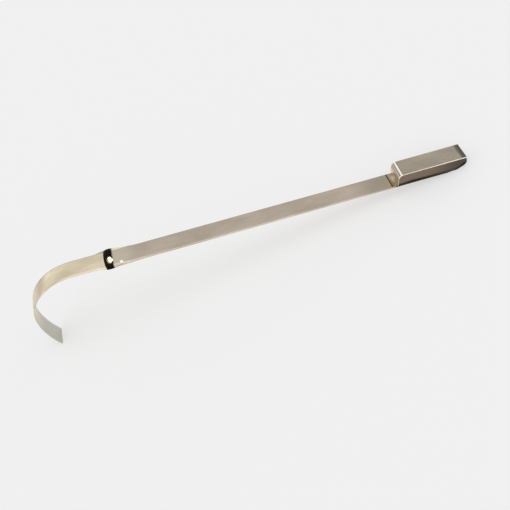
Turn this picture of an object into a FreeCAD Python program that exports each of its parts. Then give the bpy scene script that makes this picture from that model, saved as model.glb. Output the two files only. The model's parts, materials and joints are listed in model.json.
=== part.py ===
import FreeCAD, Part
import Sketcher
import math
import os

# A flat-bar hook tool, in millimetres. Design frame: +X runs along the bar from the neck to the
# striking block, Z = 0 is the bar's top face and Y = 0 is the middle of its width. Every finished
# part carries the same Placement, which lays the tool down on its hook tip and its tail.

DIMENSIONS = {
    "stock_width": 25.4,
    "neck_thickness": 4.0,
    "tail_thickness": 2.4,
    "tail_start": 485.0,
    "tail_radius": 50.8,
    "nose_front": 16.4,
    "nose_sides": 21.6,
    "nose_shoulder": 24.0,
    "nose_end": 50.0,
    "nose_width": 34.9,
    "nose_front_radius": 32.4,
    "nose_lip": 1.6,
    "nose_crest": 23.5,
    "nose_height": 3.4,
    "nose_rise_radius": 9.0,
    "nose_fall_radius": 120.0,
    "nose_crown_radius": 85.0,
    "blade_width": 27.6,
    "blade_thickness": 2.2,
    "blade_straight": 26.4,
    "blade_bend_radius": 70.6,
    "blade_bend_sweep": 94.5,
    "blade_tip_radius": 130.0,
    "blade_tip_sweep": 24.1,
    "flare_start": 3.0,
    "tongue_width": 17.0,
    "tongue_end": 38.0,
    "pin_radius": 1.6,
    "pin_length": 5.7,
    "pin_proud": 0.3,
    "pin_front": 25.0,
    "pin_pitch": 7.0,
    "block_foot": 418.1,
    "block_lean": 1.0,
    "block_corner": 514.4,
    "block_height": 17.9,
    "block_width": 28.85,
    "block_rounding": 1.1,
    "brow_rounding": 7.0,
    "end_rounding": 3.0,
    "heel_x": 511.8,
    "heel_radius": 7.6,
    "heel_top": 11.7,
    "block_reach": 515.4,
    "screw_front": 430.0,
    "screw_pitch": 26.0,
    "screw_radius": 2.5,
    "screw_length": 14.0,
    "head_radius": 4.4,
    "head_height": 1.9,
    "head_level": -2.2,
    "drive_radius": 1.7,
    "drive_depth": 1.6,
    "rest_tilt": 12.434,
    "rest_centre": 196.398,
    "rest_height": 107.96,
}

SCREW_COUNT = 3
PIN_COUNT = 2
THREAD_RELIEF = 2.0

doc = FreeCAD.newDocument("flat_bar_hook_tool")
sheet = doc.addObject("Spreadsheet::Sheet", "dims")
for row, (alias, size) in enumerate(DIMENSIONS.items(), start=1):
    sheet.set(f"A{row}", alias)
    sheet.set(f"B{row}", str(size))
    sheet.setAlias(f"B{row}", alias)
doc.recompute()


def evaluate(text):
    """The value of an expression in the sheet's cells."""
    value = sheet.evalExpression(text.replace("dims.", ""))
    return float(getattr(value, "Value", value))


def bind(obj, bindings):
    for path, text in bindings.items():
        obj.setExpression(path, text)


def new_sketch(body, name, role, offset=None):
    """A sketch on one of the body's origin planes, offset along the plane's normal."""
    sketch = body.newObject("Sketcher::SketchObject", name)
    plane = [f for f in body.Origin.OriginFeatures if f.Role == role][0]
    sketch.AttachmentSupport = [(plane, "")]
    sketch.MapMode = "FlatFace"
    if offset:
        sketch.setExpression("AttachmentOffset.Base.z", offset)
    return sketch


def arc_between(start, end, radius):
    """The short arc that turns left from start to end."""
    chord = end - start
    half = chord.Length / 2
    left = FreeCAD.Vector(-chord.y, chord.x, 0).normalize()
    centre = (start + end) * 0.5 + left * math.sqrt(radius**2 - half**2)
    first = math.atan2(start.y - centre.y, start.x - centre.x)
    last = math.atan2(end.y - centre.y, end.x - centre.x)
    circle = Part.Circle(centre, FreeCAD.Vector(0, 0, 1), radius)
    return Part.ArcOfCircle(circle, first, last)


def outline(sketch, corners):
    """A closed outline, run anticlockwise. Each corner is (across, up) in sheet expressions. A
    third item is the radius of the arc that leaves the corner, and it bulges outwards."""
    points = [FreeCAD.Vector(evaluate(c[0]), evaluate(c[1]), 0) for c in corners]
    for i, corner in enumerate(corners):
        start, end = points[i], points[(i + 1) % len(corners)]
        if len(corner) == 3:
            sketch.addGeometry(arc_between(start, end, evaluate(corner[2])), False)
        else:
            sketch.addGeometry(Part.LineSegment(start, end), False)
    for i, corner in enumerate(corners):
        following = (i + 1) % len(corners)
        sketch.addConstraint(Sketcher.Constraint("Coincident", i, 2, following, 1))
        fixed = [("DistanceX", corner[0]), ("DistanceY", corner[1])]
        for kind, text in fixed:
            index = sketch.addConstraint(
                Sketcher.Constraint(kind, -1, 1, i, 1, evaluate(text))
            )
            sketch.setExpression(f"Constraints[{index}]", text)
        if len(corner) == 3:
            index = sketch.addConstraint(
                Sketcher.Constraint("Radius", i, evaluate(corner[2]))
            )
            sketch.setExpression(f"Constraints[{index}]", corner[2])


def pad(body, name, sketch, length):
    """Pads a sketch evenly to both sides of its plane."""
    feature = body.newObject("PartDesign::Pad", name)
    feature.Profile = sketch
    feature.Midplane = True
    feature.setExpression("Length", length)
    sketch.Visibility = False
    return feature


def cut(name, base, tools):
    """base with every tool taken away from it."""
    tool = tools[0]
    if len(tools) > 1:
        tool = doc.addObject("Part::MultiFuse", f"{name}_tools")
        tool.Shapes = tools
    result = doc.addObject("Part::Cut", name)
    result.Base = base
    result.Tool = tool
    return result


TAIL_TOP = (
    "dims.tail_start + sqrt(dims.tail_radius^2 - (dims.tail_radius - dims.tail_thickness)^2)"
)
HEEL_RISE = (
    "dims.tail_radius - dims.tail_thickness"
    " - sqrt(dims.tail_radius^2 - (dims.heel_x - dims.tail_start)^2)"
)


def make_bar():
    """The tapered flat bar, with its tail rounded up on the same curve as the block's heel."""
    body = doc.addObject("PartDesign::Body", "bar_body")
    side = new_sketch(body, "bar_side", "XZ_Plane")
    outline(
        side,
        [
            ("dims.nose_shoulder", "-dims.neck_thickness"),
            ("dims.tail_start", "-dims.tail_thickness", "dims.tail_radius"),
            (TAIL_TOP, "0"),
            ("dims.nose_shoulder", "0"),
        ],
    )
    pad(body, "bar_pad", side, "dims.stock_width")
    return body


def make_nose_plan():
    """The nose seen from above: a bowed front, then sides that run back into the bar."""
    body = doc.addObject("PartDesign::Body", "nose_plan_body")
    plan = new_sketch(body, "nose_plan", "XY_Plane")
    outline(
        plan,
        [
            ("dims.nose_sides", "-dims.nose_width / 2"),
            ("dims.nose_shoulder", "-dims.nose_width / 2"),
            ("dims.nose_end", "-dims.stock_width / 2"),
            ("dims.nose_end", "dims.stock_width / 2"),
            ("dims.nose_shoulder", "dims.nose_width / 2"),
            ("dims.nose_sides", "dims.nose_width / 2", "dims.nose_front_radius"),
        ],
    )
    pad(body, "nose_plan_pad", plan, "4 * dims.neck_thickness")
    return body


def make_nose_side():
    """The nose seen from the side: a lip, a short steep rise to the crest, then a long fall."""
    body = doc.addObject("PartDesign::Body", "nose_side_body")
    side = new_sketch(body, "nose_side", "XZ_Plane")
    outline(
        side,
        [
            ("dims.nose_front - 1", "-dims.neck_thickness"),
            ("dims.nose_end", "-dims.neck_thickness"),
            ("dims.nose_end", "0", "dims.nose_fall_radius"),
            ("dims.nose_crest", "dims.nose_height", "dims.nose_rise_radius"),
            ("dims.nose_front - 1", "dims.nose_lip"),
        ],
    )
    pad(body, "nose_side_pad", side, "2 * dims.nose_width")
    return body


def make_nose_crown():
    """The nose seen from its end: flat below and gently crowned above."""
    body = doc.addObject("PartDesign::Body", "nose_crown_body")
    crown = new_sketch(body, "nose_crown", "YZ_Plane")
    drop = (
        "dims.nose_height - dims.nose_crown_radius"
        " + sqrt(dims.nose_crown_radius^2 - (dims.nose_width / 2)^2)"
    )
    outline(
        crown,
        [
            ("-dims.nose_width / 2", "-dims.neck_thickness"),
            ("dims.nose_width / 2", "-dims.neck_thickness"),
            ("dims.nose_width / 2", drop, "dims.nose_crown_radius"),
            ("-dims.nose_width / 2", drop),
        ],
    )
    pad(body, "nose_crown_pad", crown, "3 * dims.nose_end")
    return body


def make_strap():
    """The blade's strap, swept along a straight run, the main bend and the flatter tip."""
    body = doc.addObject("PartDesign::Body", "strap_body")
    path = new_sketch(body, "strap_path", "XZ_Plane")
    begin = evaluate("dims.flare_start")
    straight = evaluate("dims.blade_straight")
    bend = evaluate("dims.blade_bend_radius")
    tip = evaluate("dims.blade_tip_radius")
    quarter = math.pi / 2
    first = quarter + math.radians(evaluate("dims.blade_bend_sweep"))
    last = first + math.radians(evaluate("dims.blade_tip_sweep"))
    up = FreeCAD.Vector(0, 0, 1)
    ends = [FreeCAD.Vector(begin, 0, 0), FreeCAD.Vector(-straight, 0, 0)]
    bend_centre = FreeCAD.Vector(-straight, -bend, 0)
    toward = FreeCAD.Vector(math.cos(first), math.sin(first), 0)
    tip_centre = bend_centre + toward * (bend - tip)
    path.addGeometry(Part.LineSegment(*ends), False)
    bend_circle = Part.Circle(bend_centre, up, bend)
    path.addGeometry(Part.ArcOfCircle(bend_circle, quarter, first), False)
    tip_circle = Part.Circle(tip_centre, up, tip)
    path.addGeometry(Part.ArcOfCircle(tip_circle, first, last), False)
    driven = [
        (("DistanceX", -1, 1, 0, 1), "dims.flare_start"),
        (("DistanceX", -1, 1, 0, 2), "-dims.blade_straight"),
        (("Radius", 1), "dims.blade_bend_radius"),
        (("Radius", 2), "dims.blade_tip_radius"),
        (("Angle", 1), "dims.blade_bend_sweep * 1 deg"),
        (("Angle", 2), "dims.blade_tip_sweep * 1 deg"),
    ]
    path.addConstraint(Sketcher.Constraint("PointOnObject", 0, 1, -1))
    path.addConstraint(Sketcher.Constraint("Horizontal", 0))
    path.addConstraint(Sketcher.Constraint("Tangent", 0, 2, 1, 1))
    path.addConstraint(Sketcher.Constraint("Tangent", 1, 2, 2, 1))
    for rule, text in driven:
        value = evaluate(text)
        if rule[0] == "Angle":
            value = math.radians(value)
        index = path.addConstraint(Sketcher.Constraint(*rule, value))
        path.setExpression(f"Constraints[{index}]", text)
    section = new_sketch(body, "strap_section", "YZ_Plane", "dims.flare_start")
    outline(
        section,
        [
            ("-dims.blade_width / 2", "-dims.blade_thickness / 2"),
            ("dims.blade_width / 2", "-dims.blade_thickness / 2"),
            ("dims.blade_width / 2", "dims.blade_thickness / 2"),
            ("-dims.blade_width / 2", "dims.blade_thickness / 2"),
        ],
    )
    doc.recompute()
    sweep = body.newObject("PartDesign::AdditivePipe", "strap_sweep")
    sweep.Profile = section
    sweep.Spine = (path, ["Edge1", "Edge2", "Edge3"])
    doc.recompute()
    flare = new_sketch(body, "flare_plan", "XY_Plane")
    outline(
        flare,
        [
            ("dims.flare_start", "-dims.blade_width / 2"),
            ("dims.nose_sides", "-dims.nose_width / 2"),
            ("dims.nose_sides", "dims.nose_width / 2"),
            ("dims.flare_start", "dims.blade_width / 2"),
        ],
    )
    pad(body, "flare_pad", flare, "dims.blade_thickness")
    return body


def make_tongue():
    """The narrow end of the blade, which is let into the nose."""
    tongue = doc.addObject("Part::Box", "tongue")
    bind(
        tongue,
        {
            "Length": "dims.tongue_end - dims.flare_start",
            "Width": "dims.tongue_width",
            "Height": "dims.blade_thickness",
            "Placement.Base.x": "dims.flare_start",
            "Placement.Base.y": "-dims.tongue_width / 2",
            "Placement.Base.z": "-dims.blade_thickness / 2",
        },
    )
    return tongue


def round_edges(body, name, base, wanted, radius):
    """Fillets the edges of base whose middles are wanted."""
    names = []
    for number, edge in enumerate(base.Shape.Edges, start=1):
        if wanted(edge.CenterOfMass):
            names.append(f"Edge{number}")
    fillet = body.newObject("PartDesign::Fillet", name)
    fillet.Base = (base, names)
    fillet.setExpression("Radius", radius)
    body.Tip = fillet
    doc.recompute()
    return fillet


def make_block():
    """The striking block: a leaning front, a flat top and a heel that sweeps up from the tail."""
    body = doc.addObject("PartDesign::Body", "block_body")
    side = new_sketch(body, "block_side", "XZ_Plane")
    outline(
        side,
        [
            ("dims.block_foot", "0"),
            (TAIL_TOP, "0", "dims.tail_radius"),
            ("dims.heel_x", HEEL_RISE, "dims.heel_radius"),
            ("dims.block_reach", "dims.heel_top"),
            ("dims.block_corner", "dims.block_height"),
            ("dims.block_foot + dims.block_lean", "dims.block_height"),
        ],
    )
    block = pad(body, "block_pad", side, "dims.block_width")
    doc.recompute()
    top = evaluate("dims.block_height")
    half = evaluate("dims.block_width") / 2
    brow = evaluate("dims.block_foot + dims.block_lean")
    end = evaluate("dims.block_corner")

    def across_top(x):
        return lambda at: abs(at.x - x) < 0.1 and abs(at.z - top) < 0.1

    def along_sides(at):
        beside = abs(abs(at.y) - half) < 0.1
        in_front = at.x < brow + evaluate("dims.brow_rounding") and at.z > 0.5
        return beside and (in_front or abs(at.z - top) < 1.5)

    block = round_edges(body, "brow", block, across_top(brow), "dims.brow_rounding")
    block = round_edges(body, "end", block, across_top(end), "dims.end_rounding")
    round_edges(body, "sides", block, along_sides, "dims.block_rounding")
    return body


def add_round(kind, name, sizes, across, level):
    """A cylinder, cone or prism that stands on the given level."""
    solid = doc.addObject(f"Part::{kind}", name)
    bind(solid, sizes)
    bind(solid, {"Placement.Base.x": across, "Placement.Base.z": level})
    return solid


def make_pin(number):
    """A plain pin through the tongue, driven in from below, with its end left a little proud."""
    sizes = {"Radius": "dims.pin_radius", "Height": "dims.pin_length"}
    across = f"dims.pin_front + {number} * dims.pin_pitch"
    level = "-dims.neck_thickness - dims.pin_proud"
    return add_round("Cylinder", f"pin_{number + 1}", sizes, across, level)


def make_screw(number):
    """A countersunk screw with a hexagon socket, put in from below. Its thread is plain."""
    name = f"screw_{number + 1}"
    across = f"dims.screw_front + {number} * dims.screw_pitch"
    level = "dims.head_level"
    cone = {"Radius1": "dims.head_radius", "Radius2": "dims.screw_radius"}
    cone["Height"] = "dims.head_height"
    shaft = {"Radius": "dims.screw_radius", "Height": "dims.screw_length"}
    hexagon = {"Circumradius": "dims.drive_radius", "Height": "dims.drive_depth"}
    bore = {"Radius": "dims.screw_radius", "Height": f"dims.screw_length + {THREAD_RELIEF}"}
    mouth = {"Radius": "dims.head_radius", "Height": "dims.neck_thickness"}
    solid = doc.addObject("Part::Fuse", f"{name}_solid")
    solid.Base = add_round("Cone", f"{name}_head", cone, across, level)
    solid.Tool = add_round("Cylinder", f"{name}_shaft", shaft, across, level)
    socket = add_round("Prism", f"{name}_socket", hexagon, across, level)
    below = "dims.head_level - dims.neck_thickness"
    return {
        "screw": cut(name, solid, [socket]),
        "solid": solid,
        "bore": add_round("Cylinder", f"{name}_bore", bore, across, level),
        "mouth": add_round("Cylinder", f"{name}_mouth", mouth, across, below),
    }


def build_parts():
    """Every finished part by node name, still in the design frame."""
    tongue = make_tongue()
    nose_plan = make_nose_plan()
    nose = doc.addObject("Part::MultiCommon", "nose")
    nose.Shapes = [nose_plan, make_nose_side(), make_nose_crown()]
    forged_bar = doc.addObject("Part::Fuse", "forged_bar")
    forged_bar.Base = make_bar()
    forged_bar.Tool = nose
    fitted_strap = cut("fitted_strap", make_strap(), [nose_plan])
    tongued_blade = doc.addObject("Part::Fuse", "tongued_blade")
    tongued_blade.Base = fitted_strap
    tongued_blade.Tool = tongue
    pins = [make_pin(i) for i in range(PIN_COUNT)]
    screws = [make_screw(i) for i in range(SCREW_COUNT)]
    bores = [screw["bore"] for screw in screws]
    sinks = [screw[shape] for screw in screws for shape in ("solid", "mouth")]
    parts = {
        "shank": cut("drilled_shank", forged_bar, [tongue] + pins + sinks),
        "hook_blade": cut("drilled_blade", tongued_blade, pins),
        "striking_block": cut("drilled_block", make_block(), bores),
    }
    for number, pin in enumerate(pins, start=1):
        parts[f"blade_pin_{number}"] = pin
    for number, screw in enumerate(screws, start=1):
        parts[f"block_screw_{number}"] = screw["screw"]
    return parts


def lay_down(node, obj):
    """The finished part at rest on the ground, named after its node."""
    part = doc.addObject("Part::Compound", f"placed_{node}")
    part.Links = [obj]
    part.Label = node
    part.Placement = FreeCAD.Placement(
        FreeCAD.Vector(0, 0, 0), FreeCAD.Rotation(FreeCAD.Vector(0, 1, 0), 1)
    )
    bind(
        part,
        {
            "Placement.Rotation.Angle": "dims.rest_tilt",
            "Placement.Base.x": "-dims.rest_centre",
            "Placement.Base.z": "dims.rest_height",
        },
    )
    return part


placed = [lay_down(node, obj) for node, obj in build_parts().items()]
doc.recompute()
for obj in doc.Objects:
    if "Invalid" in obj.State or "Error" in obj.State:
        raise RuntimeError(f"{obj.Label} did not recompute: {obj.State}")
os.makedirs("parts", exist_ok=True)
whole = FreeCAD.BoundBox()
for part in placed:
    if part.Shape.isNull() or not part.Shape.isValid():
        raise RuntimeError(f"{part.Label} has no valid shape")
    whole.add(part.Shape.BoundBox)
    part.Shape.exportStep(f"parts/{part.Label}.step")
    print(part.Label, len(part.Shape.Solids), "solid", round(part.Shape.Volume / 1000, 2), "cm3")
print("box", whole)
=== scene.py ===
import bpy
import bmesh
import json
import math
from mathutils import Matrix, Vector


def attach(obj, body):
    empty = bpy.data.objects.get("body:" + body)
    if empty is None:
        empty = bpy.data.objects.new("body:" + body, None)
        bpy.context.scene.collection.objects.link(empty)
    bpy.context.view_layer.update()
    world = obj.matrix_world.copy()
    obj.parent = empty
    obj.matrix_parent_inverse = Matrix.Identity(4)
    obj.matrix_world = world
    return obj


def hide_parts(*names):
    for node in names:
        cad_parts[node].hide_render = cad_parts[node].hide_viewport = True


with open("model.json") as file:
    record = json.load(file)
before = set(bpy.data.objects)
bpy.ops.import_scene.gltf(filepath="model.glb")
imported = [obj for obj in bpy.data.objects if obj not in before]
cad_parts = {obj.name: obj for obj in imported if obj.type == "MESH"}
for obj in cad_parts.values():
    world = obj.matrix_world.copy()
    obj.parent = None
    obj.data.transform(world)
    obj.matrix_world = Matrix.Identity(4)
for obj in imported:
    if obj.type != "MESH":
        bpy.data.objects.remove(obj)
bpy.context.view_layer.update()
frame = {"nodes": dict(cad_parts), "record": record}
mm = 0.001

# The pieces are modelled with the bar level and its top face at z = 0, and then laid down like the frame.
face = [m for m in frame["record"]["mounts"] if m["name"] == "striking_face"][0]
tilt = math.atan2(face["axis"][0], face["axis"][2])
faceOnBar = Vector((467.0, 0.0, 17.9)) * mm  # the striking face's middle, measured on the level bar
layDown = Matrix.Rotation(tilt, 4, "Y")
layDown = Matrix.Translation(Vector(face["pos_m"]) - layDown @ faceOnBar) @ layDown


# small helpers for modelling in edit mode

def startFresh(obj=None):
    if bpy.context.object and bpy.context.object.mode != "OBJECT":
        bpy.ops.object.mode_set(mode="OBJECT")
    bpy.ops.object.select_all(action="DESELECT")
    if obj:
        obj.select_set(True)
        bpy.context.view_layer.objects.active = obj


# selects what passes the test, in edit mode
def pick(test, kind="verts"):
    obj = bpy.context.edit_object
    mesh = bmesh.from_edit_mesh(obj.data)
    bpy.ops.mesh.select_all(action="DESELECT")
    bpy.ops.mesh.select_mode(type={"verts": "VERT", "edges": "EDGE", "faces": "FACE"}[kind])
    count = 0
    for item in getattr(mesh, kind):
        hit = bool(test(item))
        item.select_set(hit)
        count += hit
    mesh.select_flush_mode()
    bmesh.update_edit_mesh(obj.data)
    return count


def addModifier(obj, kind, **settings):
    modifier = obj.modifiers.new(kind.title(), kind)
    for key, value in settings.items():
        setattr(modifier, key, value)
    startFresh(obj)
    bpy.ops.object.modifier_apply(modifier=modifier.name)


# lays the piece down, bakes its place into the mesh and ties it to the frame
def closePiece(obj, name, node, smoothAngle=35, flat=False):
    startFresh(obj)
    obj.name = obj.data.name = name
    obj.matrix_world = layDown @ obj.matrix_world
    bpy.context.view_layer.update()
    bpy.ops.object.transform_apply(location=True, rotation=True, scale=True)
    bpy.ops.object.shade_smooth_by_angle(angle=math.radians(smoothAngle))
    if flat:
        addModifier(obj, "WEIGHTED_NORMAL", keep_sharp=True, weight=80)
    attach(obj, "root")
    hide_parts(node)
    print("made", name, len(obj.data.polygons), "faces")
    return obj


def smoothStep(t):
    t = min(max(t, 0.0), 1.0)
    return t * t * (3 - 2 * t)


# the hook blade: a thin strap, swept back from its flared shoulder round to the tip

blade = {
    "width": 27.6, "thickness": 2.2,
    "rootX": 21.0, "flareFrom": 17.0, "flareTo": 4.0, "shoulderWidth": 32.4, "flareSteps": 14,
    "straightEnd": -26.4, "bendRadius": 70.6, "bendSweep": 94.5, "bendSteps": 72,
    "tipRadius": 130.0, "tipSweep": 24.1, "tipSteps": 16,
    "edgeRoll": 3.6, "rollSquash": 4.0, "rollSteps": 7,
}


def makeBlade(b):
    startFresh()
    bpy.ops.mesh.primitive_plane_add(size=1, location=(b["rootX"] * mm, 0, 0), rotation=(0, math.pi / 2, 0))
    obj = bpy.context.object
    bpy.ops.object.transform_apply(location=False, rotation=True, scale=True)
    bpy.ops.object.mode_set(mode="EDIT")
    bpy.ops.mesh.select_all(action="SELECT")
    # the strap's edges are rolled off: rounded on a thick section, which is then pressed thin
    bpy.ops.transform.resize(value=(1, b["shoulderWidth"] * mm, b["thickness"] * b["rollSquash"] * mm))
    bpy.ops.mesh.bevel(offset=b["edgeRoll"] * mm, segments=b["rollSteps"], affect="VERTICES")
    bpy.ops.mesh.select_all(action="SELECT")
    bpy.ops.transform.resize(value=(1, 1, 1 / b["rollSquash"]), center_override=(0, 0, 0))
    bpy.ops.object.mode_set(mode="OBJECT")
    bpy.ops.object.transform_apply(location=True, rotation=True, scale=True)
    bpy.ops.object.mode_set(mode="EDIT")
    bpy.ops.mesh.select_all(action="SELECT")
    extrude(b["flareFrom"] - b["rootX"])
    # the shoulder narrows to the strap's width in even steps along an easy curve
    step = (b["flareTo"] - b["flareFrom"]) / b["flareSteps"]
    width = b["shoulderWidth"]
    for i in range(1, b["flareSteps"] + 1):
        extrude(step)
        newWidth = b["shoulderWidth"] + (b["width"] - b["shoulderWidth"]) * smoothStep(i / b["flareSteps"])
        bpy.ops.transform.resize(value=(1, newWidth / width, 1), center_override=(0, 0, 0))
        width = newWidth
    extrude(b["straightEnd"] - b["flareTo"])
    bendCentre = Vector((b["straightEnd"], 0, -b["bendRadius"])) * mm
    turn = math.radians(b["bendSweep"])
    bpy.ops.mesh.spin(steps=b["bendSteps"], angle=turn, center=bendCentre, axis=(0, 1, 0))
    outward = Vector((-math.sin(turn), 0, math.cos(turn)))
    tipCentre = bendCentre + outward * (b["bendRadius"] - b["tipRadius"]) * mm
    bpy.ops.mesh.spin(steps=b["tipSteps"], angle=math.radians(b["tipSweep"]), center=tipCentre, axis=(0, 1, 0))
    bpy.ops.mesh.select_all(action="SELECT")
    bpy.ops.mesh.remove_doubles(threshold=0.00001)
    bpy.ops.mesh.normals_make_consistent(inside=False)
    return obj


def extrude(dx=0.0, dz=0.0):
    bpy.ops.mesh.extrude_region_move(TRANSFORM_OT_translate={"value": (dx * mm, 0, dz * mm)})


# sections: a piece that is drawn out along x, one rectangular section after another

def startSection(x, half, bottom, top):
    startFresh()
    bpy.ops.mesh.primitive_plane_add(size=1, location=(0, 0, 0), rotation=(0, math.pi / 2, 0))
    obj = bpy.context.object
    bpy.ops.object.transform_apply(location=True, rotation=True, scale=True)
    bpy.ops.object.mode_set(mode="EDIT")
    bpy.ops.mesh.select_all(action="SELECT")
    bpy.ops.transform.resize(value=(1, 2 * half * mm, (top - bottom) * mm), center_override=(0, 0, 0))
    bpy.ops.transform.translate(value=(x * mm, 0, (top + bottom) / 2 * mm))
    return obj


# sections are (x, half width, bottom, top), each drawn out of the one before
def drawOut(sections):
    obj = startSection(*sections[0])
    last = sections[0]
    for now in sections[1:]:
        extrude(now[0] - last[0])
        middle = (last[2] + last[3]) / 2
        stretch = (now[3] - now[2]) / (last[3] - last[2])
        pivot = (now[0] * mm, 0, middle * mm)
        bpy.ops.transform.resize(value=(1, now[1] / last[1], stretch), center_override=pivot)
        bpy.ops.transform.translate(value=(0, 0, ((now[2] + now[3]) / 2 - middle) * mm))
        last = now
    bpy.ops.mesh.select_all(action="SELECT")
    bpy.ops.mesh.normals_make_consistent(inside=False)
    return obj


# the shank: flat bar with a domed nose at one end and a tail that sweeps up at the other

shank = {
    "halfWidth": 12.7, "neckThickness": 4.0, "tailThickness": 2.4,
    "tailStart": 485.0, "tailRadius": 50.8, "tailSteps": 7, "tailEnd": 500.2,
    "barStart": 66.0, "barPieces": 6,
    "nose": [  # x, half width, bottom, top of the cage; the finished surface lies inside it
        (56.0, 13.3, -4.0, 0.0),
        (47.0, 14.3, -4.0, 0.5),
        (39.0, 15.1, -4.0, 1.5),
        (32.0, 16.2, -4.0, 2.7),
        (26.0, 17.4, -4.0, 3.7),
        (20.5, 17.6, -4.0, 4.0),
        (16.6, 16.9, -3.7, 2.9),
        (16.1, 16.7, -3.4, 2.2),
    ],
    "noseColumns": 10.0, "columnBow": 0.7, "cornerBow": 2.6, "bowEnd": 40.0, "crownDrop": 1.3,
    "screws": (430.0, 456.0, 482.0), "headRadius": 4.42, "shaftRadius": 2.52,
    "pins": (25.0, 32.0), "pinRadius": 1.62,
    "edgeRound": 0.5,
}


def undersideAt(x, s):
    if x > s["tailStart"]:
        return s["tailRadius"] - s["tailThickness"] - math.sqrt(s["tailRadius"] ** 2 - (x - s["tailStart"]) ** 2)
    share = (x - 50.0) / (s["tailStart"] - 50.0)
    return -s["neckThickness"] + (s["neckThickness"] - s["tailThickness"]) * share


def makeShank(s):
    stations = []
    for i in range(s["tailSteps"], -1, -1):
        stations.append(s["tailStart"] + (s["tailEnd"] - s["tailStart"]) * i / s["tailSteps"])
    for i in range(1, s["barPieces"] + 1):
        stations.append(s["tailStart"] + (s["barStart"] - s["tailStart"]) * i / s["barPieces"])
    sections = [(x, s["halfWidth"], undersideAt(x, s), 0.0) for x in stations] + s["nose"]
    obj = drawOut(sections)
    # the bar's long edges stay sharp, and soften into the nose
    firmness = [(s["barStart"] - 1, 1e9, 1.0), (56.0, s["barStart"], 0.9), (47.0, 56.0, 0.6), (39.0, 47.0, 0.3)]
    for low, high, value in firmness:
        pick(lambda e: isLong(e) and low * mm <= middleOf(e).x < high * mm, "edges")
        bpy.ops.transform.edge_crease(value=value)
    # two more rows along the bar keep the nose broad, and its front is bowed
    for side in (-1, 1):
        bpy.ops.mesh.select_all(action="SELECT")
        bpy.ops.mesh.bisect(plane_co=(0, side * s["noseColumns"] * mm, 0), plane_no=(0, 1, 0))
    front = s["nose"][-1][0]
    for x, half, bottom, top in s["nose"]:
        share = max(0.0, (s["bowEnd"] - x) / (s["bowEnd"] - front))
        for low, high, bow in ((0, 12, s["columnBow"]), (12, 99, s["cornerBow"])):
            pick(lambda v: abs(v.co.x - x * mm) < 0.1 * mm and low * mm < abs(v.co.y) < high * mm)
            bpy.ops.transform.translate(value=(bow * share * mm, 0, 0))
        # the crown falls away to the sides
        pick(lambda v: v.co.x < (s["bowEnd"] + 1) * mm and abs(v.co.y) > 12 * mm and abs(v.co.z - top * mm) < 0.01 * mm)
        bpy.ops.transform.translate(value=(0, 0, -s["crownDrop"] * share * mm))
    pick(lambda e: not isLong(e) and middleOf(e).x > (s["tailEnd"] - 0.1) * mm, "edges")
    bpy.ops.transform.edge_crease(value=1.0)
    startFresh(obj)
    addModifier(obj, "SUBSURF", levels=3, render_levels=3)
    addModifier(obj, "BEVEL", width=s["edgeRound"] * mm, segments=3, limit_method="ANGLE", angle_limit=math.radians(60))
    head, shaft, pin = s["headRadius"], s["shaftRadius"], s["pinRadius"]
    for x in s["screws"]:
        drill(obj, x, [(head, -5.0), (head, -2.2), (shaft, -0.3), (shaft, 1.0)])
    for x in s["pins"]:
        drill(obj, x, [(pin, -6.0), (pin, 1.45)])
    return obj


# takes a turned hole out of the piece; its profile is (radius, height) pairs from below upwards
def drill(obj, x, profile):
    startFresh()
    radius, height = profile[0]
    bpy.ops.mesh.primitive_circle_add(vertices=48, radius=radius * mm, fill_type="NGON", location=(x * mm, 0, height * mm))
    cutter = bpy.context.object
    bpy.ops.object.mode_set(mode="EDIT")
    for nextRadius, nextHeight in profile[1:]:
        extrude(dz=nextHeight - height)
        share = nextRadius / radius
        bpy.ops.transform.resize(value=(share, share, 1), center_override=(x * mm, 0, nextHeight * mm))
        radius, height = nextRadius, nextHeight
    bpy.ops.mesh.select_all(action="SELECT")
    bpy.ops.mesh.normals_make_consistent(inside=False)
    bpy.ops.object.mode_set(mode="OBJECT")
    addModifier(obj, "BOOLEAN", object=cutter, operation="DIFFERENCE", solver="EXACT")
    startFresh(cutter)
    bpy.ops.object.delete()


def middleOf(edge):
    return (edge.verts[0].co + edge.verts[1].co) / 2


def isLong(edge):
    span = edge.verts[0].co - edge.verts[1].co
    return abs(span.x) > 0.5 * mm


# the striking block

block = {
    "foot": 418.1, "lean": 1.0, "halfWidth": 14.425, "height": 17.9,
    "heelX": 511.8, "heelRadius": 7.6, "heelSteps": 8, "reach": 515.2, "cornerBack": 1.0,
    "frontRound": 7.0, "farRound": 3.0, "edgeRound": 1.0,
}


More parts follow.
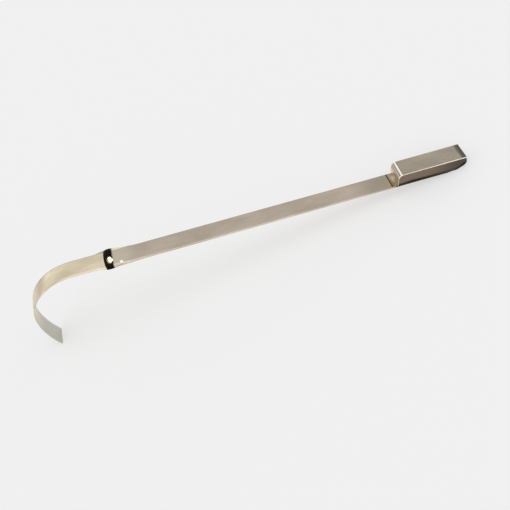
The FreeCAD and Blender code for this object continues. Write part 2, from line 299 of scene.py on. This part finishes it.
def makeBlock(b, s):
    flatEnd = s["tailStart"] + math.sqrt(s["tailRadius"] ** 2 - (s["tailRadius"] - s["tailThickness"]) ** 2)
    heel = [b["foot"], flatEnd]
    steps = b["heelSteps"]
    heel += [flatEnd + (b["heelX"] - flatEnd) * i / steps for i in range(1, steps + 1)]
    sections = [(x, b["halfWidth"], max(undersideAt(x, s), 0.0), b["height"]) for x in heel]
    top = b["height"]
    turnCentre = (b["reach"] - b["heelRadius"], 11.7)
    first = math.asin((sections[-1][2] - turnCentre[1]) / b["heelRadius"])
    for i in range(1, steps + 1):
        angle = first * (1 - i / steps)
        x = turnCentre[0] + b["heelRadius"] * math.cos(angle)
        sections.append((x, b["halfWidth"], turnCentre[1] + b["heelRadius"] * math.sin(angle), top))
    obj = drawOut(sections)
    # the front leans back a little, and so does the far end above the heel
    pick(lambda v: v.co.x < (b["foot"] + 1) * mm and v.co.z > top / 2 * mm)
    bpy.ops.transform.translate(value=(b["lean"] * mm, 0, 0))
    pick(lambda v: v.co.x > (b["reach"] - 0.1) * mm and v.co.z > (top - 0.1) * mm)
    bpy.ops.transform.translate(value=(-b["cornerBack"] * mm, 0, 0))
    # columns of the top that lie past the leaning corner are drawn in to it
    corner = b["reach"] - b["cornerBack"]
    pick(lambda v: v.co.z > (top - 0.1) * mm and v.co.x > corner * mm)
    bpy.ops.transform.resize(value=(0, 1, 1), center_override=(corner * mm, 0, 0))
    bpy.ops.mesh.select_all(action="SELECT")
    bpy.ops.mesh.remove_doubles(threshold=0.00001)
    bpy.ops.mesh.dissolve_limited(angle_limit=math.radians(0.5))
    pick(lambda e: middleOf(e).x < (b["foot"] + 2) * mm and middleOf(e).z > (top - 0.1) * mm and abs(middleOf(e).y) < mm, "edges")
    bpy.ops.mesh.bevel(offset=b["frontRound"] * mm, segments=14, profile=0.5, affect="EDGES")
    pick(lambda e: middleOf(e).x > (b["reach"] - 3) * mm and middleOf(e).z > (top - 0.1) * mm and abs(middleOf(e).y) < mm, "edges")
    bpy.ops.mesh.bevel(offset=b["farRound"] * mm, segments=8, profile=0.5, affect="EDGES")
    startFresh(obj)
    soft = {"width": b["edgeRound"] * mm, "segments": 4, "limit_method": "ANGLE", "use_clamp_overlap": False}
    addModifier(obj, "BEVEL", angle_limit=math.radians(40), **soft)
    return obj


bladePiece = closePiece(makeBlade(blade), "blade_strap", "hook_blade")
shankPiece = closePiece(makeShank(shank), "forged_shank", "shank")
blockPiece = closePiece(makeBlock(block, shank), "solid_block", "striking_block", flat=True)

# finishes: patterns are laid out along the level bar, in metres

onBar = layDown.inverted()


# a material with a few shorthand calls for its nodes
class Finish:
    def __init__(self, name):
        self.material = bpy.data.materials.new(name)
        self.material.use_nodes = True
        self.tree = self.material.node_tree
        self.shader = self.tree.nodes["Principled BSDF"]
        coords = self.add("ShaderNodeTexCoord")
        level = self.add("ShaderNodeMapping")
        level.inputs["Rotation"].default_value = onBar.to_euler()
        level.inputs["Location"].default_value = onBar.translation
        self.join(coords.outputs["Object"], level.inputs["Vector"])
        self.place = level.outputs["Vector"]
        apart = self.add("ShaderNodeSeparateXYZ")
        self.join(self.place, apart.inputs["Vector"])
        self.x, self.y, self.z = apart.outputs

    def add(self, kind):
        return self.tree.nodes.new(kind)

    def join(self, source, target):
        if isinstance(source, (int, float)):
            target.default_value = source
        else:
            self.tree.links.new(source, target)

    def sums(self, kind, *values):
        node = self.add("ShaderNodeMath")
        node.operation = kind
        for value, socket in zip(values, node.inputs):
            self.join(value, socket)
        return node.outputs[0]

    # an eased step: toLow up to low, toHigh from high on; low may be the larger
    def ramp(self, value, low, high, toLow=0.0, toHigh=1.0):
        node = self.add("ShaderNodeMapRange")
        node.interpolation_type = "SMOOTHSTEP"
        if low > high:
            low, high, toLow, toHigh = high, low, toHigh, toLow
        for socket, number in zip(list(node.inputs)[1:5], (low, high, toLow, toHigh)):
            socket.default_value = number
        self.join(value, node.inputs["Value"])
        return node.outputs["Result"]

    # noise on coordinates that are squeezed or stretched along the bar
    def stretched(self, sx, sy, sz, scale, detail=4.0, rough=0.55, turn=0.0):
        shape = self.add("ShaderNodeMapping")
        shape.inputs["Scale"].default_value = (sx, sy, sz)
        shape.inputs["Rotation"].default_value = (0, 0, turn)
        self.join(self.place, shape.inputs["Vector"])
        noise = self.add("ShaderNodeTexNoise")
        noise.inputs["Scale"].default_value = scale
        noise.inputs["Detail"].default_value = detail
        noise.inputs["Roughness"].default_value = rough
        self.join(shape.outputs["Vector"], noise.inputs["Vector"])
        return noise.outputs["Fac"]

    # thin straight lines, a few of them bright
    def scratches(self, count, turn, fine=0.012):
        shape = self.add("ShaderNodeMapping")
        shape.inputs["Rotation"].default_value = (0, 0, turn)
        shape.inputs["Scale"].default_value = (0.12, 1, 1)
        self.join(self.place, shape.inputs["Vector"])
        cells = self.add("ShaderNodeTexVoronoi")
        cells.feature = "DISTANCE_TO_EDGE"
        cells.inputs["Scale"].default_value = count
        self.join(shape.outputs["Vector"], cells.inputs["Vector"])
        return self.ramp(cells.outputs["Distance"], fine, 0.0)

    def blend(self, share, first, second):
        node = self.add("ShaderNodeMix")
        node.data_type = "RGBA"
        node.clamp_factor = True
        self.join(share, node.inputs[0])
        for value, socket in ((first, node.inputs[6]), (second, node.inputs[7])):
            if isinstance(value, tuple):
                socket.default_value = (*value, 1.0)
            else:
                self.join(value, socket)
        return node.outputs[2]

    def bump(self, height, strength, distance):
        node = self.add("ShaderNodeBump")
        node.inputs["Strength"].default_value = strength
        node.inputs["Distance"].default_value = distance
        self.join(height, node.inputs["Height"])
        return node.outputs["Normal"]

    def close(self, colour, roughness, normal, anisotropy=0.0):
        self.join(colour, self.shader.inputs["Base Color"])
        self.join(roughness, self.shader.inputs["Roughness"])
        self.join(normal, self.shader.inputs["Normal"])
        self.shader.inputs["Metallic"].default_value = 1.0
        self.shader.inputs["IOR"].default_value = 1.45
        self.shader.inputs["Anisotropic"].default_value = anisotropy
        return self.material


# shared by the three large pieces: a mottled tint, drawn lines, scratches and their bump
def polishedMetal(f, look):
    cloud = f.stretched(1, 2.2, 2.2, look["cloudScale"], detail=3)
    tint = f.blend(f.ramp(cloud, 0.35, 0.68), look["dark"], look["light"])
    streaks = f.stretched(0.035, 1, 1, look["streakScale"], detail=6, rough=0.7)
    tint = f.blend(f.ramp(streaks, 0.42, 0.66, 0.0, look["streakShare"]), tint, look["streakTint"])
    lines = f.sums("MAXIMUM", f.scratches(95, 0.35), f.scratches(70, -0.6))
    lines = f.sums("MULTIPLY", lines, f.ramp(f.stretched(1, 1, 1, 38), 0.52, 0.62))
    tint = f.blend(f.sums("MULTIPLY", lines, 0.2), tint, look["scratchTint"])
    fine = f.stretched(0.02, 1, 1, 2600, detail=3)
    gloss = f.ramp(streaks, 0.3, 0.7, look["smooth"], look["rough"])
    gloss = f.sums("ADD", gloss, f.sums("MULTIPLY", lines, 0.12))
    relief = f.sums("ADD", f.sums("MULTIPLY", fine, 0.5), f.sums("MULTIPLY", streaks, 0.6))
    relief = f.sums("SUBTRACT", relief, f.sums("MULTIPLY", lines, 0.5))
    return tint, gloss, f.bump(relief, look["bump"], 0.00012)


barLook = {
    "dark": (0.63, 0.54, 0.43), "light": (0.75, 0.64, 0.53), "cloudScale": 16, "streakScale": 330,
    "streakShare": 0.35, "streakTint": (0.54, 0.47, 0.38), "scratchTint": (0.85, 0.80, 0.72),
    "smooth": 0.09, "rough": 0.2, "bump": 0.10,
    "darkReflectionTint": (0.011, 0.009, 0.005), "darkBandEnd": 29.0,
    "cornerShadeTint": (0.10, 0.07, 0.035), "cornerX": 411.0, "blockReflectionTint": (0.56, 0.44, 0.26),
    "endShadeTint": (0.38, 0.34, 0.26), "neckTint": (0.82, 0.74, 0.60), "underBlockShadeTint": (0.06, 0.048, 0.03),
}


def barMetal(look):
    f = Finish("bar_metal")
    tint, gloss, normal = polishedMetal(f, look)
    # painted dark reflection, black round the nose's front and along its underside
    wobble = f.sums("MULTIPLY", f.sums("SUBTRACT", f.stretched(1, 1, 1, 160), 0.5), 0.004)
    x = f.sums("ADD", f.x, wobble)
    front = f.ramp(x, (look["darkBandEnd"] + 1.2) * mm, (look["darkBandEnd"] - 1.2) * mm)
    low = f.ramp(f.z, 0.7 * mm, -0.6 * mm)
    low = f.sums("MULTIPLY", low, f.ramp(x, 46 * mm, 38 * mm))
    # the mask of the painted dark reflection
    scale = f.sums("MAXIMUM", front, low)
    tint = f.blend(scale, tint, look["darkReflectionTint"])
    gloss = f.sums("ADD", gloss, f.sums("MULTIPLY", scale, 0.2))
    # painted shade in the corner in front of the block, brown, with a painted dark line where it ends
    line = f.sums("ABSOLUTE", f.sums("SUBTRACT", f.x, look["cornerX"] * mm))
    line = f.ramp(line, 1.3 * mm, 0.6 * mm, 0.0, 0.95)
    nearHalf = f.ramp(f.y, 5 * mm, -9 * mm, 0.05, 1.0)
    cornerShade = f.sums("MULTIPLY", f.ramp(f.x, (look["cornerX"] - 0.4) * mm, (look["cornerX"] + 1) * mm), nearHalf)
    cornerShade = f.sums("MULTIPLY", cornerShade, 0.55)
    # painted shade: the bar darkens towards the block
    tint = f.blend(f.ramp(f.x, 350 * mm, 400 * mm, 0.0, 0.55), tint, look["endShadeTint"])
    tint = f.blend(f.sums("MULTIPLY", f.ramp(f.x, 66 * mm, 42 * mm, 0.0, 0.7), f.ramp(f.x, 28 * mm, 31 * mm)), tint, look["neckTint"])
    # painted reflection of the block's front on the polished bar: a warm patch before the corner
    blockReflection = f.ramp(f.x, (look["cornerX"] - 8) * mm, (look["cornerX"] - 4) * mm)
    blockReflection = f.sums("MULTIPLY", f.sums("MULTIPLY", blockReflection, nearHalf), 0.7)
    onTop = f.ramp(f.z, -0.4 * mm, -0.1 * mm)
    tint = f.blend(blockReflection, tint, look["blockReflectionTint"])
    # painted shade and the painted dark line, on the top only
    tint = f.blend(f.sums("MULTIPLY", f.sums("MAXIMUM", line, cornerShade), onTop), tint, look["cornerShadeTint"])
    # painted shade round the bar's edge under the block
    under = f.sums("MULTIPLY", f.ramp(f.x, 413 * mm, 418 * mm), f.ramp(f.z, -0.1 * mm, -0.5 * mm))
    under = f.sums("MULTIPLY", under, f.ramp(f.sums("ABSOLUTE", f.y), 9 * mm, 12.5 * mm))
    tint = f.blend(under, tint, look["underBlockShadeTint"])
    return f.close(tint, gloss, normal, anisotropy=0.25)


bladeLook = {
    "dark": (0.74, 0.64, 0.46), "light": (0.86, 0.76, 0.56), "cloudScale": 22, "streakScale": 260,
    "streakShare": 0.25, "streakTint": (0.68, 0.62, 0.50), "scratchTint": (0.9, 0.86, 0.78),
    "smooth": 0.34, "rough": 0.46, "bump": 0.08,
    "tipTint": (0.53, 0.53, 0.45), "paintedEdgeTint": (0.44, 0.38, 0.40),
    "bendShadeTint": (0.60, 0.55, 0.58),
}


def bladeMetal(look):
    f = Finish("blade_metal")
    tint, gloss, normal = polishedMetal(f, look)
    # greyer and greener towards the tip
    tint = f.blend(f.ramp(f.z, -50 * mm, -95 * mm, 0.0, 0.9), tint, look["tipTint"])
    # painted shade on the far edge, with a lilac cast round the bend
    edge = f.ramp(f.y, 11.6 * mm, 12.9 * mm, 0.0, 0.8)
    tint = f.blend(edge, tint, look["paintedEdgeTint"])
    # painted shade round the bend
    bend = f.sums("MULTIPLY", f.ramp(f.y, 7 * mm, 12 * mm, 0.0, 0.65), f.ramp(f.z, -4 * mm, -28 * mm))
    tint = f.blend(bend, tint, look["bendShadeTint"])
    return f.close(tint, gloss, normal, anisotropy=0.2)


blockLook = {
    "dark": (0.45, 0.385, 0.31), "light": (0.53, 0.46, 0.37), "cloudScale": 24, "streakScale": 280,
    "streakShare": 0.3, "streakTint": (0.38, 0.34, 0.28), "scratchTint": (0.85, 0.8, 0.7),
    "smooth": 0.07, "rough": 0.14, "bump": 0.07,
    "sideShadeTint": (0.225, 0.175, 0.13), "lowShadeTint": (0.024, 0.017, 0.007), "paintedEdgeTint": (0.98, 0.90, 0.76),
    "farShadeTint": (0.11, 0.10, 0.085), "frontTint": (0.56, 0.48, 0.37), "frontLow": (0.86, 0.75, 0.57),
    "browHighlightTint": (0.95, 0.88, 0.76), "paintedBrowLineTint": (0.16, 0.13, 0.09), "endShadeTint": (0.085, 0.070, 0.055),
}


def blockMetal(look, b):
    f = Finish("block_metal")
    tint, gloss, normal = polishedMetal(f, look)
    half = b["halfWidth"] * mm
    top = b["height"] * mm
    aside = f.sums("ABSOLUTE", f.y)
    wobble = f.sums("MULTIPLY", f.sums("SUBTRACT", f.stretched(0.3, 1, 1, 120), 0.5), 0.006)
    lift = f.ramp(f.x, 497 * mm, 515 * mm, 0.0, 10 * mm)
    height = f.sums("SUBTRACT", f.sums("ADD", f.z, wobble), lift)
    # painted shade: the top darkens towards the far end
    farShade = f.ramp(f.x, 440 * mm, 508 * mm, 0.0, 0.28)
    farShade = f.sums("MAXIMUM", farShade, f.ramp(f.x, 503 * mm, 511 * mm, 0.0, 1.0))
    tint = f.blend(farShade, tint, look["farShadeTint"])
    # painted reflection on the front, bright above and olive below; a painted dark line crosses its brow, and above it
    # a bright band of painted highlight
    front = f.ramp(f.x, (b["foot"] + 3.8) * mm, (b["foot"] + 3.2) * mm)
    frontTint = f.blend(f.ramp(height, 13 * mm, 3 * mm), look["frontTint"], look["frontLow"])
    tint = f.blend(front, tint, frontTint)
    gloss = f.sums("ADD", gloss, f.sums("MULTIPLY", front, 0.22))
    # painted highlight: the bright band over the brow
    browHighlight = f.ramp(f.x, (b["foot"] + 6.6) * mm, (b["foot"] + 6.0) * mm)
    browHighlight = f.sums("MULTIPLY", browHighlight, f.ramp(f.x, (b["foot"] + 3.5) * mm, (b["foot"] + 4.0) * mm))
    tint = f.blend(browHighlight, tint, look["browHighlightTint"])
    gloss = f.sums("ADD", gloss, f.sums("MULTIPLY", browHighlight, 0.2))
    # painted dark line across the brow
    line = f.ramp(f.sums("ABSOLUTE", f.sums("SUBTRACT", f.x, (b["foot"] + 3.3) * mm)), 0.65 * mm, 0.35 * mm, 0.0, 0.85)
    tint = f.blend(line, tint, look["paintedBrowLineTint"])
    # painted shade on the sides: brown, nearly black low down and under the heel, and darker towards the far end
    side = f.ramp(aside, half - 0.3 * mm, half - 0.1 * mm)
    sideShadeTint = f.blend(f.ramp(height, 7.0 * mm, 1.5 * mm), look["sideShadeTint"], look["lowShadeTint"])
    sideShadeTint = f.blend(f.ramp(f.x, 455 * mm, 512 * mm, 0.0, 0.9), sideShadeTint, look["endShadeTint"])
    tint = f.blend(side, tint, sideShadeTint)
    # painted shade along the block's bottom
    foot = f.sums("MULTIPLY", f.ramp(height, 1.9 * mm, 1.1 * mm), f.ramp(f.x, (b["foot"] + 1) * mm, (b["foot"] + 2) * mm))
    tint = f.blend(foot, tint, look["lowShadeTint"])
    # painted highlight along the near edges, less of it along the far ones
    edges = f.ramp(aside, half - 1.2 * mm, half - 0.8 * mm)
    edges = f.sums("MAXIMUM", edges, f.sums("MULTIPLY", f.ramp(aside, half - 1.8 * mm, half - 1.4 * mm), front))
    edges = f.sums("MULTIPLY", edges, f.ramp(aside, half - 0.15 * mm, half - 0.3 * mm))
    edges = f.sums("MULTIPLY", edges, f.ramp(f.y, half * 0.5, -half * 0.5, 0.2, 1.0))
    upper = f.sums("MAXIMUM", f.ramp(f.z, top - 2.2 * mm, top - 1.4 * mm), f.ramp(f.x, (b["foot"] + 8) * mm, (b["foot"] + 7) * mm))
    edges = f.sums("MULTIPLY", f.sums("MULTIPLY", edges, upper), f.ramp(height, 2 * mm, 5 * mm))
    edges = f.sums("MULTIPLY", edges, f.ramp(f.stretched(1, 1, 1, 90), 0.3, 0.45, 0.5, 1.0))
    tint = f.blend(edges, tint, look["paintedEdgeTint"])
    return f.close(tint, gloss, normal, anisotropy=0.2)


fixingLook = {"dark": (0.30, 0.28, 0.26), "light": (0.46, 0.43, 0.39)}


def fixingMetal(name, look, roughness):
    f = Finish(name)
    cloud = f.stretched(1, 1, 1, 900, detail=5)
    tint = f.blend(f.ramp(cloud, 0.35, 0.65), look["dark"], look["light"])
    return f.close(tint, f.ramp(cloud, 0.3, 0.7, roughness - 0.08, roughness + 0.1), f.bump(cloud, 0.15, 0.0001))


def dress(obj, material):
    obj.data.materials.clear()
    obj.data.materials.append(material)


dress(shankPiece, barMetal(barLook))
dress(bladePiece, bladeMetal(bladeLook))
dress(blockPiece, blockMetal(blockLook, block))
screwMetal = fixingMetal("screw_metal", fixingLook, 0.42)
pinMetal = fixingMetal("pin_metal", {"dark": (0.5, 0.45, 0.38), "light": (0.62, 0.56, 0.48)}, 0.3)
for nodeName, nodeObject in frame["nodes"].items():
    if "screw" in nodeName:
        dress(nodeObject, screwMetal)
    if "pin" in nodeName:
        dress(nodeObject, pinMetal)
print("finishes done")


# stage: a pale light table, a soft room and the lamps

stage = {"size": 14.0, "ownLight": 0.485, "albedo": 0.42}


def makeFloor(look):
    startFresh()
    bpy.ops.mesh.primitive_plane_add(size=look["size"], location=(0, 0, 0))
    obj = bpy.context.object
    obj.name = "floor"
    material = bpy.data.materials.new("light_table")
    material.use_nodes = True
    shader = material.node_tree.nodes["Principled BSDF"]
    shader.inputs["Base Color"].default_value = (look["albedo"],) * 3 + (1,)
    shader.inputs["Roughness"].default_value = 0.9
    shader.inputs["Specular IOR Level"].default_value = 0.0
    shader.inputs["Emission Color"].default_value = (1, 1, 1, 1)
    shader.inputs["Emission Strength"].default_value = look["ownLight"]
    obj.data.materials.append(material)


# the room's brightness by the sine of the height above the horizon
roomLight = [(0.0, 0.12), (0.10, 0.12), (0.22, 1.15), (0.5, 1.15), (0.62, 0.62), (0.85, 0.62), (1.0, 1.8)]


def makeRoom(levels):
    world = bpy.data.worlds.new("room")
    bpy.context.scene.world = world
    world.use_nodes = True
    tree = world.node_tree
    coords = tree.nodes.new("ShaderNodeTexCoord")
    apart = tree.nodes.new("ShaderNodeSeparateXYZ")
    ramp = tree.nodes.new("ShaderNodeValToRGB")
    tree.links.new(coords.outputs["Generated"], apart.inputs[0])
    tree.links.new(apart.outputs["Z"], ramp.inputs["Fac"])
    ramp.color_ramp.interpolation = "EASE"
    while len(ramp.color_ramp.elements) < len(levels):
        ramp.color_ramp.elements.new(0.5)
    for element, (place, level) in zip(ramp.color_ramp.elements, levels):
        element.position = place
        element.color = (level, level, level, 1)
    tree.links.new(ramp.outputs["Color"], tree.nodes["Background"].inputs["Color"])
    tree.nodes["Background"].inputs["Strength"].default_value = 1.0


# narrow lamps for the glints on the nose and the block's brow: a point of the level bar and the way to the lamp
glints = [
    {"at": (24.3, -5.9, 3.6), "way": (0.014, 0.681, 0.732), "reach": 0.25, "cone": 1.8, "power": 26.0},
    {"at": (39.3, -11.9, 1.4), "way": (0.121, 0.573, 0.811), "reach": 0.25, "cone": 1.0, "power": 0.03},
    {"at": (423.4, 0.0, 17.4), "way": (-0.263, 0.655, 0.705), "reach": 0.5, "cone": 4.5, "power": 0.12},
]


def makeGlint(look, number):
    data = bpy.data.lights.new("glint_" + str(number), "SPOT")
    data.spot_size = math.radians(look["cone"])
    data.spot_blend = 0.25
    data.shadow_soft_size = 0.001
    data.energy = look["power"]
    obj = bpy.data.objects.new(data.name, data)
    bpy.context.scene.collection.objects.link(obj)
    way = layDown.to_3x3() @ Vector(look["way"]).normalized()
    obj.location = layDown @ (Vector(look["at"]) * mm) + way * look["reach"]
    obj.rotation_euler = way.to_track_quat("Z", "Y").to_euler()


makeFloor(stage)
makeRoom(roomLight)
for number, look in enumerate(glints, start=1):
    makeGlint(look, number)
# camera, placed from the level bar

camera = {"place": (136.9, -672.1, 717.3), "turn": (2.406, -0.367, -0.034), "lens": 52.39}


def makeCamera(c):
    data = bpy.data.cameras.new("camera")
    data.sensor_width = 36
    data.lens = c["lens"]
    data.clip_start, data.clip_end = 0.01, 100
    obj = bpy.data.objects.new("camera", data)
    bpy.context.scene.collection.objects.link(obj)
    turn = Vector(c["turn"])
    toCamera = Matrix.Rotation(turn.length, 3, turn.normalized())
    flip = Matrix(((1, 0, 0), (0, -1, 0), (0, 0, -1)))
    place = Matrix.Translation(Vector(c["place"]) * mm) @ (toCamera.transposed() @ flip).to_4x4()
    obj.matrix_world = layDown @ place
    bpy.context.scene.camera = obj


makeCamera(camera)
bpy.context.scene.view_settings.view_transform = "Standard"
